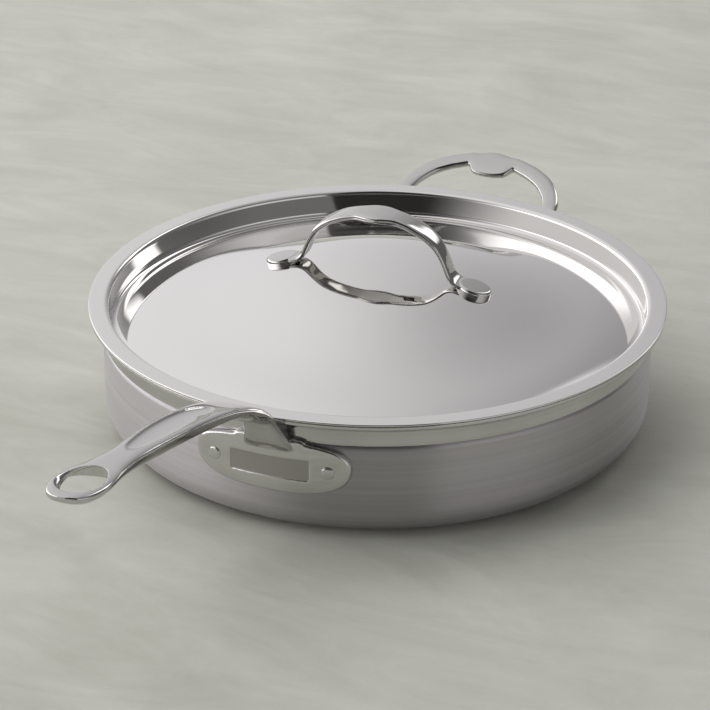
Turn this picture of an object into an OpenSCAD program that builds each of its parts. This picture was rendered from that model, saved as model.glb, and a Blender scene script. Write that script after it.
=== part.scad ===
// Saute pan with a lid: clad pan, long cast handle, loop helper handle, pressed lid with an arch handle.
// Millimetres, +Z up. The origin is the centre of the flat base, the long handle points along -Y.

/* [Pan] */
// Inside diameter of the straight wall
pan_in_d = 310; // [250:1:340]
// Height of the lip above the base
pan_h = 71.5; // [60:0.5:95]
// Thickness of the aluminium core
core_t = 1.5; // [1:0.1:3]
// Thickness of each stainless skin
skin_t = 0.4; // [0.3:0.05:0.8]
// Outside radius of the corner between base and wall
corner_r = 18; // [10:0.5:24]
// How far the lip stands out from the wall
lip_reach = 7.2; // [6.5:0.1:10]
// Outside radius of the flare below the lip
flare_r = 5; // [3:0.1:6]
// Height of the polished band below the lip's top
band_h = 14.8; // [13:0.1:17]
// How far the polished band stands proud of the brushed wall
band_out = 0.3; // [0.1:0.05:0.6]

/* [Lid] */
// Thickness of the lid's sheet
lid_t = 1.2; // [0.8:0.1:1.8]
// Air between the lip and the resting lid
lid_gap = 0.3; // [0.2:0.05:0.6]
// How far the lid's edge overhangs the lip
lid_over = 0.5; // [0:0.1:1.5]
// Clearance between the lid's wall and the pan's wall
lid_fit = 1.3; // [0.8:0.1:3]
// Depth of the lid's channel below its flange
lid_depth = 15; // [10:0.5:20]
// How much the lid's wall leans outward from foot to top
lid_lean = 0.9; // [0.3:0.1:1.1]
// Radius of the fold between flange and wall, on the outside
fold_r = 2.6; // [2:0.1:4]
// Radius between wall and channel, on the outside
channel_r = 3; // [1.5:0.1:4]
// Flat width of the channel's floor
channel_w = 2.5; // [1:0.1:6]
// Height of the dome above the channel's floor
dome_h = 32.5; // [20:0.5:45]

/* [Lid handle] */
// Distance between the centres of the two pads
pad_span = 115.8; // [100:0.2:130]
// Length of a pad along the handle
pad_len = 20; // [17:0.5:24]
// Width of a pad
pad_w = 17.5; // [15:0.5:20]
// Thickness of a pad
pad_t = 3.7; // [2.5:0.1:5]
// Rise of the arch above the pads
arch_h = 36.4; // [28:0.2:48]
// Width of the strap beside the eye-shaped middle
arch_w = 15.4; // [12:0.2:17]
// Width of the eye-shaped middle
arch_eye_w = 21; // [18:0.5:26]
// Thickness of the strap at the top of the arch
arch_t = 4.6; // [3.5:0.1:6]
// Thickness of the strap at its legs
arch_leg_t = 3; // [2.4:0.1:3.4]

/* [Long handle] */
// Length of the long handle from the wall to its tip
handle_len = 232.7; // [200:1:260]
// Rise of the tip above the lip
handle_rise = 69; // [50:1:80]
// Gap between the lid's edge and the neck at the lip's height
neck_gap = 5; // [4:0.1:8]
// Width of the neck at the flange
neck_w = 28.6; // [25:0.2:32]
// Width of the grip
grip_w = 23; // [20:0.2:26]
// Narrowest width, between the grip and the eye
waist_w = 17.4; // [15:0.2:19]
// Width of the handle's end round the eye
end_w = 27.6; // [25:0.2:32]
// Thickness of the neck's sheet at the flange
neck_t = 4.6; // [4:0.1:6]
// Thickness of the grip
grip_t = 8.2; // [7:0.1:10]
// Thickness of the end round the eye
end_t = 5.6; // [4.5:0.1:7]
// Length of the hanging eye
eye_len = 29; // [20:0.5:31]
// Width of the hanging eye
eye_w = 19; // [12:0.2:19.4]
// Solid length between the eye and the tip
eye_back = 8; // [7:0.1:10]
// Length of the thumb groove
groove_len = 93; // [60:1:100]
// Width of the thumb groove
groove_w = 16; // [10:0.2:17]
// Depth of the thumb groove
groove_t = 1.9; // [0.8:0.1:2.6]
// Distance between the groove's outer end and the tip
groove_back = 65; // [55:1:75]
// Width of the hollow under the neck at the lip's height
hollow_w = 16; // [10:0.2:17]
// Depth of the hollow under the neck
hollow_t = 1.9; // [1:0.1:2.2]

/* [Long handle flange] */
// Width of the flange
flange_w = 88; // [80:0.5:100]
// Height of the flange
flange_h = 34; // [30:0.5:38]
// Thickness of both flanges
flange_t = 4.2; // [3:0.1:6]
// Distance from the lip's top down to the flange's lower edge
flange_drop = 45; // [42:0.5:48]
// Width of the shallow recess
recess_w = 45.6; // [30:0.2:50]
// Height of the shallow recess
recess_h = 12.6; // [8:0.2:14]
// Depth of the shallow recess
recess_t = 0.5; // [0.2:0.05:1]
// Corner radius of the shallow recess
recess_r = 1.5; // [0.5:0.1:3]
// Distance between the two rivets of the long handle
rivet_span = 63; // [58:0.5:70]
// Distance from the lip's top down to the rivets and the recess
rivet_drop = 30; // [28:0.5:32]

/* [Helper handle] */
// Reach of the loop from the wall
helper_len = 58.7; // [52:0.5:70]
// Width of the loop over its outside
helper_w = 106.6; // [96:0.5:112]
// Width of the strap
helper_strap_w = 10.6; // [9:0.1:11.6]
// Width of the strap's wider middle
helper_eye_w = 21.8; // [17:0.2:24]
// Thickness of the strap
helper_t = 5; // [4:0.1:6]
// Upward slope of the loop in degrees
helper_tilt = 20.8; // [12:0.5:26]
// Width of the helper handle's flange
helper_flange_w = 112; // [106:0.5:124]
// Height of the helper handle's flange
helper_flange_h = 26; // [22:0.5:28]
// Distance between the two rivets of the helper handle
helper_rivet_span = 56; // [40:0.5:62]

/* [Rivets] */
// Diameter of a rivet's shank and of its hole
shank_d = 5; // [4:0.1:6]
// Diameter of the low head on the outside
head_d = 7.2; // [6.6:0.1:9]
// Height of the low head on the outside
head_h = 0.8; // [0.5:0.1:1.4]
// Diameter of the head inside the pan
inner_head_d = 11.5; // [9:0.1:13]
// Height of the head inside the pan
inner_head_h = 1.8; // [1.2:0.1:3]
// Depth of the flat seat that the outer head is set in
seat_t = 0.3; // [0.25:0.05:0.5]

/* [Hidden] */
$fn = 96;
in_r = pan_in_d / 2;
wall_t = core_t + 2 * skin_t;
wall_r = in_r + wall_t;
lip_r = wall_r + lip_reach;
flare_z = pan_h - wall_t - flare_r;
band_z = pan_h - band_h;
lid_r = lip_r + lid_over;
lid_z = pan_h + lid_gap + lid_t;
lid_foot_r = in_r - lid_fit - lid_t;
fold_x = lid_foot_r + lid_lean + fold_r;
channel_x = lid_foot_r - channel_r;
dome_r = channel_x - channel_w;
floor_z = lid_z - lid_depth;
pad_x = pad_span / 2;
neck_x = lip_reach + lid_over + neck_gap;
front_r = wall_r + flange_t;
seat_r = front_r - seat_t;
rivet_z = pan_h - rivet_drop;

// Splines and small helpers
function unit(v) = v / norm(v);
function mirrored(rows) = [for (i = [len(rows) - 1:-1:1])
    [for (k = [0:len(rows[i]) - 1]) k == 0 ? -rows[i][k] : rows[i][k]]];
function at(rows, i) = rows[max(0, min(len(rows) - 1, i))];
function curve(a, b, c, d, t) = b + (c - a) * (t / 2) + (2 * a - 5 * b + 4 * c - d) * (t * t / 2)
    + (3 * b - a - 3 * c + d) * (t * t * t / 2);
function spline(rows, n) = [
    for (i = [0:len(rows) - 2])
        for (k = [0:n - 1])
            curve(at(rows, i - 1), rows[i], rows[i + 1], at(rows, i + 2), k / n),
    rows[len(rows) - 1]];
function closed_spline(pts, n) = let(m = len(pts)) [
    for (i = [0:m - 1])
        for (k = [0:n - 1])
            curve(pts[(i + m - 1) % m], pts[i], pts[(i + 1) % m], pts[(i + 2) % m], k / n)];
function arc(cx, cz, r, a0, a1, n) = [for (i = [0:n])
    let(a = a0 + (a1 - a0) * i / n) [cx + r * cos(a), cz + r * sin(a)]];
function bent(v, p) = sign(v) * pow(abs(v), p);

// A tube skinned over rings of equal point count, closed by a fan at each end
module skin(rings) {
    n = len(rings);
    m = len(rings[0]);
    a = [for (k = [0:2]) let(s = [for (p = rings[0]) p[k]]) s * [for (p = s) 1] / m];
    b = [for (k = [0:2]) let(s = [for (p = rings[n - 1]) p[k]]) s * [for (p = s) 1] / m];
    polyhedron(
        points = concat([for (r = rings) each r], [a, b]),
        faces = concat(
            [for (i = [0:n - 2], j = [0:m - 1]) [i * m + j, (i + 1) * m + j, (i + 1) * m + (j + 1) % m]],
            [for (i = [0:n - 2], j = [0:m - 1]) [i * m + j, (i + 1) * m + (j + 1) % m, i * m + (j + 1) % m]],
            [for (j = [0:m - 1]) [n * m, j, (j + 1) % m]],
            [for (j = [0:m - 1]) [n * m + 1, (n - 1) * m + (j + 1) % m, (n - 1) * m + j]]));
}

// Rows of a strap hold x, y, z of its upper face, half width, thickness and depth of its widest line
function strap_ring(rows, i, up, m, pw, pt, pb) =
    let(r = rows[i],
        q = at(rows, i - 1),
        s = at(rows, i + 1),
        t = unit([s[0] - q[0], s[1] - q[1], s[2] - q[2]]),
        n = unit(up - (up * t) * t),
        w = cross(n, t))
    [for (j = [0:m - 1])
        let(a = 360 * (j + 0.5) / m,
            x = r[3] * bent(cos(a), pw),
            y = sin(a) > 0 ? -r[5] + r[5] * pow(sin(a), pt) : -r[5] - (r[4] - r[5]) * pow(-sin(a), pb))
        [r[0], r[1], r[2]] + w * x + n * y];
module strap(rows, up, m, pw = 0.5, pt = 0.5, pb = 0.7) {
    skin([for (i = [0:len(rows) - 1]) strap_ring(rows, i, up, m, pw, pt, pb)]);
}

// Outlines of the pan's wall, off mm inside the outer face
function wall_line(off) = concat(
    [[0, off]],
    arc(wall_r - corner_r, corner_r, corner_r - off, -90, 0, 9),
    arc(wall_r + flare_r, flare_z, flare_r + off, 180, 90, 7));
function outer_line() = concat(
    [[0, 0]],
    arc(wall_r - corner_r, corner_r, corner_r, -90, 0, 9),
    [[wall_r, band_z], [wall_r + band_out, band_z + band_out]],
    arc(wall_r + flare_r, flare_z, flare_r - band_out, 180, 90, 7));
function backward(p) = [for (i = [len(p) - 1:-1:0]) p[i]];

// Cuts what stands inside the pan's wall, with flats that only touch the round wall from outside
module wall_cut() {
    flats = 360;
    cylinder(r = wall_r / cos(180 / flats), h = pan_h, $fn = flats);
    translate([0, 0, band_z])
        cylinder(r = (wall_r + band_out) / cos(180 / flats), h = band_h, $fn = flats);
}

// Places its children at the two rivets, with +Z along the rivet and pointing out of the pan
module at_rivets(side, span) {
    for (s = [-1, 1])
        rotate([0, 0, s * asin(span / 2 / wall_r) * side])
            translate([0, side * front_r, rivet_z])
                rotate([-90 * side, 0, 0])
                    children();
}
module rivet_holes(side, span) {
    at_rivets(side, span)
        translate([0, 0, -flange_t - wall_t - 4])
            cylinder(d = shank_d, h = flange_t + wall_t + 10);
}
// The same holes and the flat seats of the heads, with flats that touch the round rivet from outside
module casting_holes(side, span) {
    flats = 36;
    at_rivets(side, span) {
        translate([0, 0, -flange_t - 4])
            cylinder(d = shank_d / cos(180 / flats), h = flange_t + 10, $fn = flats);
        translate([0, 0, -seat_t])
            cylinder(d = head_d / cos(180 / flats), h = 6, $fn = flats);
    }
}
module all_holes() {
    rivet_holes(-1, rivet_span);
    rivet_holes(1, helper_rivet_span);
}
// One revolved solid a rivet: low head outside, shank, and a wider head that rests on the round wall inside
module rivets(side, span) {
    inner = flange_t + wall_t + in_r - sqrt(in_r * in_r - inner_head_d * inner_head_d / 4);
    color([0.8, 0.8, 0.8])
        at_rivets(side, span)
            rotate_extrude()
                polygon(concat(
                    [for (a = [90:-15:0]) [inner_head_d / 2 * cos(a), -inner - inner_head_h * sin(a)]],
                    [[shank_d / 2, -inner], [shank_d / 2, -seat_t], [head_d / 2, -seat_t]],
                    [for (a = [0:15:90]) [head_d / 2 * cos(a), head_h * sin(a)]]));
}

module pan_outer_skin() {
    color([0.78, 0.78, 0.77])
        difference() {
            rotate_extrude()
                polygon(concat(
                    outer_line(),
                    [[lip_r, pan_h - wall_t + band_out], [lip_r, pan_h - wall_t + skin_t]],
                    backward(wall_line(skin_t))));
            all_holes();
        }
}
module pan_core() {
    color([0.7, 0.71, 0.72])
        difference() {
            rotate_extrude()
                polygon(concat(
                    wall_line(skin_t),
                    [[lip_r - skin_t, pan_h - wall_t + skin_t], [lip_r - skin_t, pan_h - skin_t]],
                    backward(wall_line(skin_t + core_t))));
            all_holes();
        }
}
module pan_inner_skin() {
    color([0.8, 0.8, 0.79])
        difference() {
            rotate_extrude()
                polygon(concat(
                    wall_line(skin_t + core_t),
                    [[lip_r - skin_t, pan_h - skin_t], [lip_r - skin_t, pan_h - wall_t + skin_t],
                        [lip_r, pan_h - wall_t + skin_t], [lip_r, pan_h]],
                    backward(wall_line(wall_t))));
            all_holes();
        }
}

// Flanges: a plate bent to the wall. side is -1 for the long handle and 1 for the helper handle.
// Outline points are shares of the half width and of the height above the lower edge.
long_outline = [[0, 0], [0.22, 0], [0.45, 0.02], [0.65, 0.06], [0.81, 0.13], [0.92, 0.22], [0.98, 0.33],
    [1, 0.46], [0.985, 0.59], [0.92, 0.7], [0.82, 0.785], [0.645, 0.85], [0.48, 0.885], [0.38, 0.94]];
helper_outline = [[0, 0], [0.25, 0], [0.5, 0.01], [0.72, 0.05], [0.88, 0.14], [0.97, 0.3], [1, 0.5],
    [0.97, 0.7], [0.88, 0.86], [0.72, 0.95], [0.5, 0.99], [0.25, 1], [0, 1]];
function full_outline(half, top) = concat(half, top,
    [for (i = [len(half) - 1:-1:1]) if (half[i][0] > 0) [-half[i][0], half[i][1]]]);
function flange_ring(pts, c, k, inset, r, side) = [for (p = pts)
    let(d = p - c,
        q = c + d * k * (1 - inset / norm(d)))
    [q[0], side * sqrt(r * r - q[0] * q[0]), q[1]]];
module flange(pts, c, side) {
    rings = concat(
        [flange_ring(pts, c, 1, 0, wall_r - 1.5, side)],
        [for (a = [0:30:60]) flange_ring(pts, c, 1, 1.4 * (1 - cos(a)), front_r - 1.4 + 1.4 * sin(a), side)],
        [for (k = [1, 0.8, 0.6, 0.4, 0.2]) flange_ring(pts, c, k, 1.4, front_r, side)]);
    skin(side > 0 ? [for (i = [len(rings) - 1:-1:0]) rings[i]] : rings);
}

// Long handle. Rows: distance past the neck line and rise as shares, half width, thickness.
function neck_rows() = [
    for (r = [
            [0.5, -17, neck_w / 2 + 0.3, neck_t],
            [flange_t + 0.5, -11.5, neck_w * 0.44, neck_t],
            [(neck_x + flange_t) * 0.46, -6.5, neck_w * 0.38, neck_t],
            [neck_x, 1.5, neck_w * 0.16 + grip_w * 0.21, neck_t]])
        [0, -wall_r - r[0], pan_h + r[1], r[2], r[3], 2]];
function arm_rows() = [
    for (r = [
            [0.023, 0.1, 0.405, neck_t + 0.4],
            [0.059, 0.196, 0.43, neck_t * 0.5 + grip_t * 0.45],
            [0.091, 0.266, 0.46, grip_t * 0.95],
            [0.118, 0.316, 0.48, grip_t * 1.04],
            [0.145, 0.363, 0.49, grip_t * 0.8],
            [0.182, 0.419, 0.495, grip_t * 0.72],
            [0.245, 0.503, 0.49, grip_t * 0.84],
            [0.318, 0.582, 0.49, grip_t * 0.95],
            [0.364, 0.626, 0.49, grip_t],
            [0.414, 0.67, 0.487, grip_t],
            [0.473, 0.716, 0.475, grip_t],
            [0.536, 0.761, 0.45, grip_t],
            [0.614, 0.811, 0.41, grip_t]])
        [0, arm_y(r[0]), arm_rise(r[1]), grip_w * r[2], r[3], 2.6]];
function arm_y(share) = -wall_r - neck_x - (handle_len - neck_x) * share;
function arm_rise(share) = pan_h + 1.5 + (handle_rise - 1.5) * share;
module long_arm() {
    tail = [
        [0.691, 0.857, waist_w / 2, grip_t * 0.94],
        [0.755, 0.897, waist_w / 2 + 0.4, grip_t * 0.85]];
    back = [
        [42, 0.93, waist_w * 0.25 + end_w * 0.22, end_t * 1.12],
        [33, 0.958, end_w * 0.445, end_t],
        [25, 0.977, end_w * 0.49, end_t],
        [19, 0.987, end_w * 0.5, end_t],
        [13, 0.994, end_w * 0.481, end_t],
        [8, 0.998, end_w * 0.43, end_t * 0.97],
        [4, 1, end_w * 0.345, end_t * 0.88],
        [1.4, 1, end_w * 0.23, end_t * 0.7],
        [0, 1, end_w * 0.09, end_t * 0.4]];
    rows = concat(
        neck_rows(),
        arm_rows(),
        [for (r = tail) [0, arm_y(r[0]), arm_rise(r[1]), r[2], r[3], 3]],
        [for (r = back) [0, -wall_r - handle_len + r[0], arm_rise(r[1]), r[2], r[3], r[3] * 0.45]]);
    strap(spline(rows, 2), [0, 0.3, 0.95], 28, 0.55, 0.5, 0.75);
}
function arm_z(back) = let(u = 1 - back / (handle_len - neck_x)) pan_h + 1.5
    + (handle_rise - 1.5) * (1 - 0.28 * (1 - u) - 0.95 * pow(1 - u, 2.2) + 0.23 * pow(1 - u, 3));
module thumb_groove() {
    rows = [for (g = [[0, 0.04], [0.06, 0.5], [0.2, 0.82], [0.32, 0.95], [0.45, 1], [0.6, 0.94], [0.78, 0.7],
            [0.91, 0.42], [1, 0.04]])
        let(b = groove_back + groove_len * (1 - g[0]),
            deep = groove_t * pow(g[1], 0.7))
        [0, -wall_r - handle_len + b, arm_z(b) + deep, groove_w / 2 * g[1], 2 * deep, deep]];
    strap(spline(rows, 2), [0, 0.3, 0.95], 16, 0.8, 0.8, 0.8);
}
module hanging_eye() {
    mid = eye_back + eye_len / 2;
    lean = atan((arm_z(mid - 8) - arm_z(mid + 8)) / 16);
    translate([0, -wall_r - handle_len + mid, arm_z(mid) - end_t / 2])
        rotate([lean, 0, 0])
            skin([for (h = [-8, -end_t / 2, -end_t / 4, 0, end_t / 4, end_t / 2, 8])
                let(grow = 1.2 * pow(min(1, abs(h) * 2 / end_t), 2))
                [for (j = [0:27])
                    let(a = 360 * j / 28)
                    [(eye_w / 2 + grow) * sin(a) * (1 + 0.06 * cos(a)), -(eye_len / 2 + grow) * cos(a), h]]]);
}
// The hollow follows the lower face of the neck and runs out on the flange and under the arm
module neck_hollow() {
    rows = concat(neck_rows(), arm_rows());
    up = [0, 1, 0.5];
    lens = concat(
        [for (r = [[-22.4, 0.34, 0.3], [-20.6, 0.62, 0.7]])
            [0, -wall_r - flange_t + r[2], pan_h + r[0], hollow_w / 2 * r[1], hollow_t + 3, hollow_t * r[2]]],
        [for (i = [0:7])
            let(r = rows[i],
                share = [1.4, 1.34, 1.15, 1, 0.98, 0.96, 0.8, 0.4][i],
                deep = hollow_t * [0.9, 1, 1, 1, 1, 0.95, 0.8, 0.2][i],
                t = unit(slice(at(rows, i + 1)) - slice(at(rows, i - 1))),
                n = unit(up - (up * t) * t),
                p = slice(r) - n * (r[4] - deep))
            [p[0], p[1], p[2], hollow_w / 2 * share, deep + 3, deep]]);
    strap(spline(lens, 2), up, 20, 0.8, 0.9, 0.8);
}
function slice(r) = [r[0], r[1], r[2]];
module recess() {
    intersection() {
        translate([0, -front_r + 8, rivet_z])
            rotate([90, 0, 0])
                linear_extrude(20)
                    offset(r = recess_r, $fn = 16)
                        square([recess_w - 2 * recess_r, recess_h - 2 * recess_r], center = true);
        difference() {
            cylinder(r = front_r + 6, h = pan_h, $fn = 120);
            translate([0, 0, -1])
                cylinder(r = front_r - recess_t, h = pan_h + 2, $fn = 240);
        }
    }
}
module main_handle() {
    outline = closed_spline([for (p = full_outline(long_outline, [[0, 0.97]]))
        [p[0] * flange_w / 2, pan_h - flange_drop + p[1] * flange_h]], 2);
    color([0.72, 0.72, 0.71])
        resize([0, 0, 0])
            difference() {
                union() {
                    flange(outline, [0, rivet_z], -1);
                    long_arm();
                }
                wall_cut();
                thumb_groove();
                hanging_eye();
                neck_hollow();
                recess();
                casting_holes(-1, rivet_span);
            }
}
module main_handle_rivets() {
    rivets(-1, rivet_span);
}

// Helper handle: a loop of strap that rises from a flange
module helper_loop() {
    cw = helper_w / 2 - helper_strap_w / 2;
    slope = tan(helper_tilt);
    half = [
        [0, 0.815, helper_eye_w / 2], [0.1, 0.815, helper_eye_w * 0.48], [0.188, 0.817, helper_eye_w * 0.42],
        [0.25, 0.835, helper_eye_w * 0.325], [0.312, 0.853, helper_strap_w * 0.52],
        [0.37, 0.84, helper_strap_w * 0.49], [0.47, 0.805, helper_strap_w * 0.5],
        [0.583, 0.762, helper_strap_w * 0.51], [0.77, 0.654, helper_strap_w * 0.51],
        [0.91, 0.51, helper_strap_w * 0.5], [0.978, 0.385, helper_strap_w * 0.48],
        [1, 0.285, helper_strap_w * 0.47]];
    loop = [for (r = half) [cw * r[0], wall_r + helper_len * r[1],
        pan_h - 11 + slope * (helper_len * r[1] - 2.7), r[2], helper_t, helper_t * 0.48]];
    leg = [for (r = [[0.995, 15.8, -10.5], [0.98, 11.4, -15.2], [0.96, 7.6, -20.5], [0.945, 4, -25.5],
            [0.94, 0.5, -30]])
        let(b = cw * r[0])
        [b, sqrt(wall_r * wall_r - b * b) + r[1], pan_h + r[2], helper_strap_w / 2, helper_t, helper_t * 0.48]];
    side = concat(loop, leg);
    rows = concat(mirrored(side), side);
    strap(spline(rows, 2), [0, -0.36, 0.93], 20, 0.6, 0.6, 0.65);
}
module helper_handle() {
    outline = closed_spline([for (p = full_outline(helper_outline, []))
        [p[0] * helper_flange_w / 2, rivet_z + (p[1] - 0.5) * helper_flange_h]], 2);
    color([0.72, 0.72, 0.71])
        resize([0, 0, 0])
            difference() {
                union() {
                    flange(outline, [0, rivet_z], 1);
                    helper_loop();
                }
                wall_cut();
                casting_holes(1, helper_rivet_span);
            }
}
module helper_handle_rivets() {
    rivets(1, helper_rivet_span);
}

// Lid. The dome's form runs from its middle to the channel, as shares of dome_r and dome_h.
dome_shape = [[0, 1], [0.1, 0.99], [0.2, 0.96], [0.3, 0.897], [0.4, 0.8], [0.5, 0.68], [0.6, 0.545],
    [0.7, 0.41], [0.8, 0.275], [0.9, 0.135], [0.96, 0.045], [1, 0]];
function dome_line() = [for (p = spline(dome_shape, 2)) [p[0] * dome_r, floor_z + p[1] * dome_h]];
function steps_below(line, r) = len([for (p = line) if (p[0] <= r) 1]);
function dome_z(r) = let(d = dome_line(), i = min(len(d) - 2, steps_below(d, r) - 1))
    d[i][1] + (d[i + 1][1] - d[i][1]) * (r - d[i][0]) / (d[i + 1][0] - d[i][0]);
function lowered(line, t) = [for (i = [0:len(line) - 1])
    let(d = unit(at(line, i + 1) - at(line, i - 1)))
    i == 0 ? line[i] - [0, t] : line[i] + [d[1], -d[0]] * t];
module lid_shell() {
    top = concat(
        dome_line(),
        arc(channel_x, floor_z + channel_r, channel_r, -90, 0, 5),
        arc(fold_x, lid_z - fold_r, fold_r, 180, 90, 5),
        arc(lid_r - lid_t / 2, lid_z - lid_t / 2, lid_t / 2, 90, -90, 6));
    low = concat(
        lowered(dome_line(), lid_t),
        arc(channel_x, floor_z + channel_r, channel_r + lid_t, -90, 0, 5),
        arc(fold_x, lid_z - fold_r, fold_r - lid_t, 180, 90, 5));
    color([0.82, 0.82, 0.81])
        rotate_extrude()
            polygon(concat(top, backward(low)));
}
module lid_cut() {
    flats = 360;
    scale([1 / cos(180 / flats), 1 / cos(180 / flats), 1])
        rotate_extrude($fn = flats)
            polygon(concat([[0, floor_z - 20]], dome_line(), [[dome_r, floor_z - 20]]));
}
module lid_pad(s) {
    lean = atan((dome_z(pad_x - 6) - dome_z(pad_x + 6)) / 12);
    translate([s * pad_x, 0, dome_z(pad_x)])
        rotate([0, s * lean, 0])
            skin([for (q = [[0, -3], [0, 0], [0, pad_t - 1.8], [0.25, pad_t - 0.9], [0.9, pad_t - 0.25],
                    [1.8, pad_t], [4.5, pad_t + 0.15], [7, pad_t + 0.2]])
                [for (j = [0:27])
                    let(a = 360 * j / 28)
                    [(pad_len / 2 - q[0]) * cos(a), (pad_w / 2 - q[0]) * sin(a), q[1]]]]);
}
module lid_arch() {
    top = dome_z(pad_x) + pad_t;
    half = [
        [0, 1, arch_eye_w / 2, arch_t], [0.069, 0.997, arch_eye_w * 0.485, arch_t],
        [0.138, 0.99, arch_w * 0.2 + arch_eye_w * 0.28, arch_t], [0.21, 0.977, arch_w / 2, arch_t],
        [0.3, 0.944, arch_w * 0.49, arch_t], [0.39, 0.893, arch_w * 0.485, arch_t * 0.97],
        [0.516, 0.787, arch_w * 0.465, arch_t * 0.9], [0.622, 0.648, arch_w * 0.44, (arch_t + arch_leg_t) / 2],
        [0.677, 0.525, arch_w * 0.42, arch_leg_t * 1.1], [0.724, 0.377, arch_w * 0.4, arch_leg_t],
        [0.76, 0.24, arch_w * 0.4, arch_leg_t], [0.79, 0.135, arch_w * 0.41, arch_leg_t],
        [0.83, 0.067, arch_w * 0.44, arch_leg_t], [0.885, 0.037, arch_w * 0.46, arch_leg_t],
        [0.945, 0.012, arch_w * 0.46, arch_leg_t]];
    side = [for (r = half) [pad_x * r[0], 0, top + arch_h * r[1], r[2], r[3], r[3] * 0.5]];
    strap(spline(concat(mirrored(side), side), 2), [0, 0, 1], 20, 0.6, 0.6, 0.6);
}
module lid_handle() {
    color([0.72, 0.72, 0.71])
        resize([0, 0, 0])
            difference() {
                union() {
                    lid_pad(-1);
                    lid_pad(1);
                    lid_arch();
                }
                lid_cut();
            }
}

pan_outer_skin();
pan_core();
pan_inner_skin();
main_handle();
main_handle_rivets();
helper_handle();
helper_handle_rivets();
lid_shell();
lid_handle();
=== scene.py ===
import math

import bmesh
import bpy
import numpy as np
from mathutils import Matrix, Vector


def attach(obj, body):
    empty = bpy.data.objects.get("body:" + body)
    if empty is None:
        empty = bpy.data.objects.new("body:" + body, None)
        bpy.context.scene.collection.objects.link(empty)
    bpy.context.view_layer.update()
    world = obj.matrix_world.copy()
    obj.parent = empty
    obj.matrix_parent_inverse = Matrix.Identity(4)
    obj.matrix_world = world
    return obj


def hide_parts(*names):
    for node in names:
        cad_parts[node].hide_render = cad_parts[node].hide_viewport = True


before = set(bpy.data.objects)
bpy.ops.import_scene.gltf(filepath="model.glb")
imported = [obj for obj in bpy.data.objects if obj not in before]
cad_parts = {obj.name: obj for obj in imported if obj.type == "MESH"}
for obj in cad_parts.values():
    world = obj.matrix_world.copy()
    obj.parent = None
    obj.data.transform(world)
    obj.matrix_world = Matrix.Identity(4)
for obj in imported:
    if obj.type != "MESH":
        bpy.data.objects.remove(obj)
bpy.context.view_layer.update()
print("frame loaded:", len(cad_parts), "nodes")

# sizes in millimetres, the same as in the model's source
pan = {"innerR": 155.0, "height": 71.5, "core": 1.5, "skin": 0.4, "cornerR": 18.0, "lipReach": 7.2,
       "flareR": 5.0, "bandHeight": 14.8, "bandOut": 0.3, "segments": 384}
lid = {"sheet": 1.2, "gap": 0.3, "over": 0.5, "fit": 1.3, "depth": 15.0, "lean": 0.9, "foldR": 2.6,
       "channelR": 3.0, "channelFlat": 2.5, "domeRise": 32.5, "segments": 384}

wallT = pan["core"] + 2 * pan["skin"]
wallR = pan["innerR"] + wallT
lipR = wallR + pan["lipReach"]
flareZ = pan["height"] - wallT - pan["flareR"]
bandZ = pan["height"] - pan["bandHeight"]
lidZ = pan["height"] + lid["gap"] + lid["sheet"]
lidR = lipR + lid["over"]
footR = pan["innerR"] - lid["fit"] - lid["sheet"]
channelX = footR - lid["channelR"]
domeR = channelX - lid["channelFlat"]
floorZ = lidZ - lid["depth"]
foldX = footR + lid["lean"] + lid["foldR"]


# a mesh object from an array of points in millimetres and a list of faces
def meshPiece(name, points, faces, smooth=True):
    mesh = bpy.data.meshes.new(name)
    mesh.from_pydata((np.asarray(points) * 0.001).tolist(), [], faces)
    mesh.validate()
    mesh.update()
    if smooth:
        mesh.polygons.foreach_set("use_smooth", np.ones(len(mesh.polygons), bool))
    piece = bpy.data.objects.new(name, mesh)
    bpy.context.scene.collection.objects.link(piece)
    return piece


# faces of a grid of rows by columns of points, where each row closes on itself
def gridFaces(rows, cols):
    i, j = np.meshgrid(np.arange(rows - 1), np.arange(cols), indexing="ij")
    k = (j + 1) % cols
    quads = np.stack([i * cols + j, i * cols + k, (i + 1) * cols + k, (i + 1) * cols + j], -1)
    return quads.reshape(-1, 4).tolist()


# merges doubled points, drops faces without area and turns every face outwards
def cleanMesh(piece):
    mergeReach = 1e-6
    work = bmesh.new()
    work.from_mesh(piece.data)
    bmesh.ops.remove_doubles(work, verts=work.verts, dist=mergeReach)
    bmesh.ops.dissolve_degenerate(work, dist=mergeReach, edges=work.edges)
    bmesh.ops.recalc_face_normals(work, faces=work.faces)
    work.to_mesh(piece.data)
    work.free()
    piece.data.polygons.foreach_set("use_smooth", np.ones(len(piece.data.polygons), bool))
    piece.data.update()


# a profile of r and z turned once round Z: x = r cos a, y = r sin a. Its ends meet, or both lie on the axis,
# where a ring becomes one pole
def turnedPiece(name, profile, segments):
    profile = np.asarray(profile, float)
    angle = np.linspace(0, 2 * math.pi, segments, endpoint=False)
    ring = np.stack([np.cos(angle), np.sin(angle)], -1)
    height = np.repeat(profile[:, None, 1:], segments, 1)
    points = np.concatenate([profile[:, None, :1] * ring[None], height], -1)
    piece = meshPiece(name, points.reshape(-1, 3), gridFaces(len(profile), segments))
    cleanMesh(piece)
    return piece


# points of an arc about a centre, from one angle to the other in degrees
def arcPoints(centre, radius, start, stop, count):
    a = np.radians(np.linspace(start, stop, count))
    return np.stack([centre[0] + radius * np.cos(a), centre[1] + radius * np.sin(a)], -1)


# a line of points with the gaps between far neighbours filled evenly
def evenLine(points, gap):
    points = np.asarray(points, float)
    out = [points[:1]]
    for start, stop in zip(points[:-1], points[1:]):
        count = max(1, int(math.ceil(np.linalg.norm(stop - start) / gap)))
        t = np.linspace(0, 1, count + 1)[1:, None]
        out.append(start + (stop - start) * t)
    return np.concatenate(out)


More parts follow.
